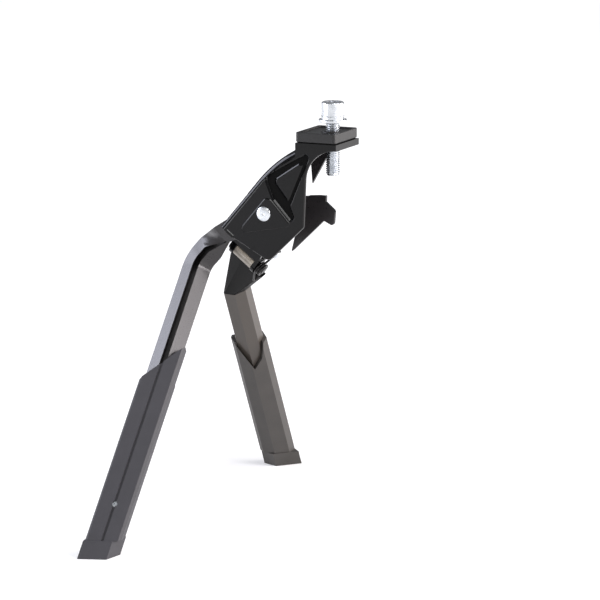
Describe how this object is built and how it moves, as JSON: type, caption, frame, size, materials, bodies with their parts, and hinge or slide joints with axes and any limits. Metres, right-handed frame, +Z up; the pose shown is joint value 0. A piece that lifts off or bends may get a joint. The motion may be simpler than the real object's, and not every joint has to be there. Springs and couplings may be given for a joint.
{
  "type": "bicycle kickstand",
  "caption": "Double-leg bicycle kickstand: a pressed hood bolts under the frame, splayed legs with adjustable plastic feet fold up rearwards and swing together.",
  "frame": {"origin": "on the mounting bolt's axis, at the top face of the seat block, where the bicycle's frame plate lies", "axes": "+X to the bicycle's rear, +Y to its right side, +Z up; the legs are down, as in use"},
  "size_m": [0.1352, 0.3392, 0.303],
  "materials": {
    "black_painted_steel": "gloss",
    "zinc_plated_steel": "satin",
    "black_plastic": "matte",
    "spring_steel": "satin"
  },
  "bodies": {
    "bracket": {"hood": "black_painted_steel", "seat_block": "black_plastic", "mounting_bolt": "zinc_plated_steel", "bolt_washer": "zinc_plated_steel", "lock_washer": "zinc_plated_steel", "pivot_rivet_left": "zinc_plated_steel", "pivot_rivet_right": "zinc_plated_steel", "pivot_washer_left": "zinc_plated_steel", "pivot_spacer_right": "zinc_plated_steel"},
    "pull_spring": {"return_spring": "spring_steel"},
    "carrier": {"leg_carrier": "black_painted_steel", "left_leg": "black_painted_steel", "spring_pin": "zinc_plated_steel", "hinge_pin": "zinc_plated_steel", "hinge_clip": "zinc_plated_steel", "spring_post": "zinc_plated_steel", "torsion_spring": "spring_steel"},
    "right_side": {"right_leg": "black_painted_steel"},
    "left_shoe": {"left_foot": "black_plastic", "left_foot_screw": "zinc_plated_steel"},
    "right_shoe": {"right_foot": "black_plastic", "right_foot_screw": "zinc_plated_steel"}
  },
  "joints": [
    {"name": "fold", "type": "hinge", "parent": "bracket", "child": "carrier", "pos_m": [-0.0439, 0, -0.0594], "axis": [0, -1, 0], "range_deg": [0, 100]},
    {"name": "spring_turn", "type": "hinge", "parent": "bracket", "child": "pull_spring", "pos_m": [-0.03, 0, -0.03], "axis": [0, -1, 0], "range_deg": [0, 29], "deforming": ["return_spring"]},
    {"name": "swing", "type": "hinge", "parent": "carrier", "child": "right_side", "pos_m": [-0.0638, 0.004, -0.0987], "axis": [-0.7848, 0, 0.6198], "range_deg": [0, 64], "deforming": ["torsion_spring"]},
    {"name": "left_adjust", "type": "slide", "parent": "carrier", "child": "left_shoe", "axis": [-0.0301, -0.6142, -0.7886], "range_m": [0, 0.025]},
    {"name": "right_adjust", "type": "slide", "parent": "right_side", "child": "right_shoe", "axis": [-0.0697, 0.5664, -0.8212], "range_m": [0, 0.025]}
  ],
  "couplings": [
    {"joint": "swing", "follows": "fold", "ratio": 0.64},
    {"joint": "spring_turn", "follows": "fold", "ratio": 0.29}
  ]
}
